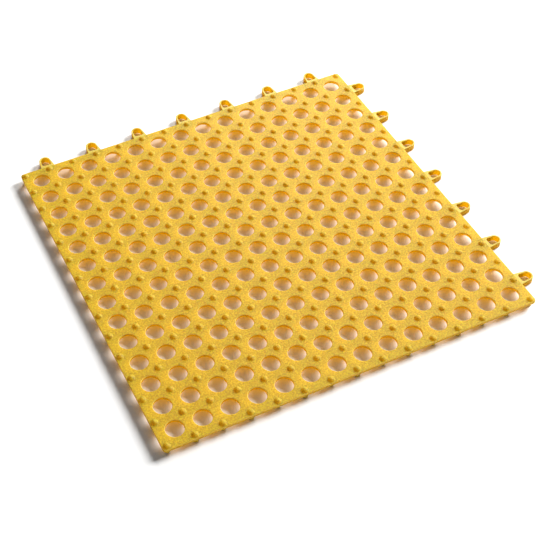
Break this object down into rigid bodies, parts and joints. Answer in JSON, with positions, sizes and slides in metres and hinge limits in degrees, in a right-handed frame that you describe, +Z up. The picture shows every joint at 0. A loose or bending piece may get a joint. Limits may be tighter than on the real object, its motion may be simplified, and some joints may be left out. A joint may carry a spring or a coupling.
{
  "type": "shower mat",
  "caption": "Square interlocking drainage mat of soft PVC with round holes, short feet below, and eye-shaped loops on two edges that join it to the next mat.",
  "frame": {"origin": "on the floor under the middle foot, which is the middle of the square sheet", "axes": "+Z up out of the tread; +X along the front edge to the edge with loops; +Y to the back edge with loops"},
  "size_m": [0.3133, 0.3133, 0.0066],
  "materials": {
    "soft_pvc": "moulded soft PVC, matt with a fine grain, slightly translucent"
  },
  "bodies": {
    "root": {"drainage_mat": "soft_pvc"}
  },
  "joints": []
}
